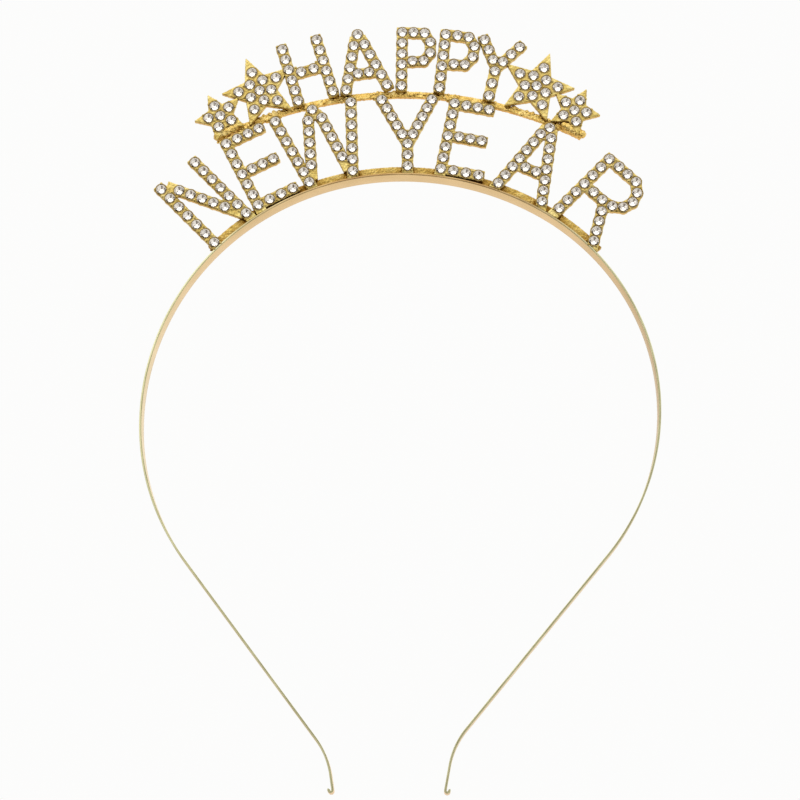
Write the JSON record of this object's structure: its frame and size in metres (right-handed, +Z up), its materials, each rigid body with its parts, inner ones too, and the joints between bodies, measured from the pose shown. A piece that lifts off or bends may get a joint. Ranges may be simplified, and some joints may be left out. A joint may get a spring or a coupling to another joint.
{
  "type": "new year tiara headband",
  "caption": "Gold spring-strip tiara headband with rhinestone-set block capitals in two tiers and stars at the ends of the upper one.",
  "frame": {"origin": "middle of the strip's inner face at the top of the arch, where it rests on the head", "axes": "+Z up as worn, -Y the way the letters face, +X to the right of someone reading them"},
  "size_m": [0.1349, 0.0056, 0.2059],
  "materials": {
    "plated_strip": "polished",
    "plated_rail": "satin",
    "gold_casting": "cast, plated",
    "rhinestone": "faceted, foiled"
  },
  "bodies": {
    "crown": {"band_crown": "plated_strip", "band_flex_left": "plated_strip", "band_flex_right": "plated_strip", "base_rail": "plated_rail", "upper_rail": "plated_rail", "happy_h": "gold_casting", "happy_a": "gold_casting", "happy_p_first": "gold_casting", "happy_p_second": "gold_casting", "happy_y": "gold_casting", "new_n": "gold_casting", "new_e": "gold_casting", "new_w": "gold_casting", "year_y": "gold_casting", "year_e": "gold_casting", "year_a": "gold_casting", "year_r": "gold_casting", "star_large_left": "gold_casting", "star_large_right": "gold_casting", "star_small_left": "gold_casting", "star_small_right": "gold_casting", "rhinestones_happy_h": "rhinestone", "rhinestones_happy_a": "rhinestone", "rhinestones_happy_p_first": "rhinestone", "rhinestones_happy_p_second": "rhinestone", "rhinestones_happy_y": "rhinestone", "rhinestones_new_n": "rhinestone", "rhinestones_new_e": "rhinestone", "rhinestones_new_w": "rhinestone", "rhinestones_year_y": "rhinestone", "rhinestones_year_e": "rhinestone", "rhinestones_year_a": "rhinestone", "rhinestones_year_r": "rhinestone", "rhinestones_star_large_left": "rhinestone", "rhinestones_star_large_right": "rhinestone", "rhinestones_star_small_left": "rhinestone", "rhinestones_star_small_right": "rhinestone"},
    "left_leg": {"band_leg_left": "plated_strip"},
    "right_leg": {"band_leg_right": "plated_strip"}
  },
  "joints": [
    {"name": "left_leg_spring", "type": "hinge", "parent": "crown", "child": "left_leg", "pos_m": [-0.05942, 0, -0.0354], "axis": [0, 1, 0], "range_deg": [-4, 22], "stiffness_Nm_per_rad": 0.32, "deforming": ["band_flex_left"]},
    {"name": "right_leg_spring", "type": "hinge", "parent": "crown", "child": "right_leg", "pos_m": [0.05967, 0, -0.03401], "axis": [0, -1, 0], "range_deg": [-4, 22], "stiffness_Nm_per_rad": 0.32, "deforming": ["band_flex_right"]}
  ]
}
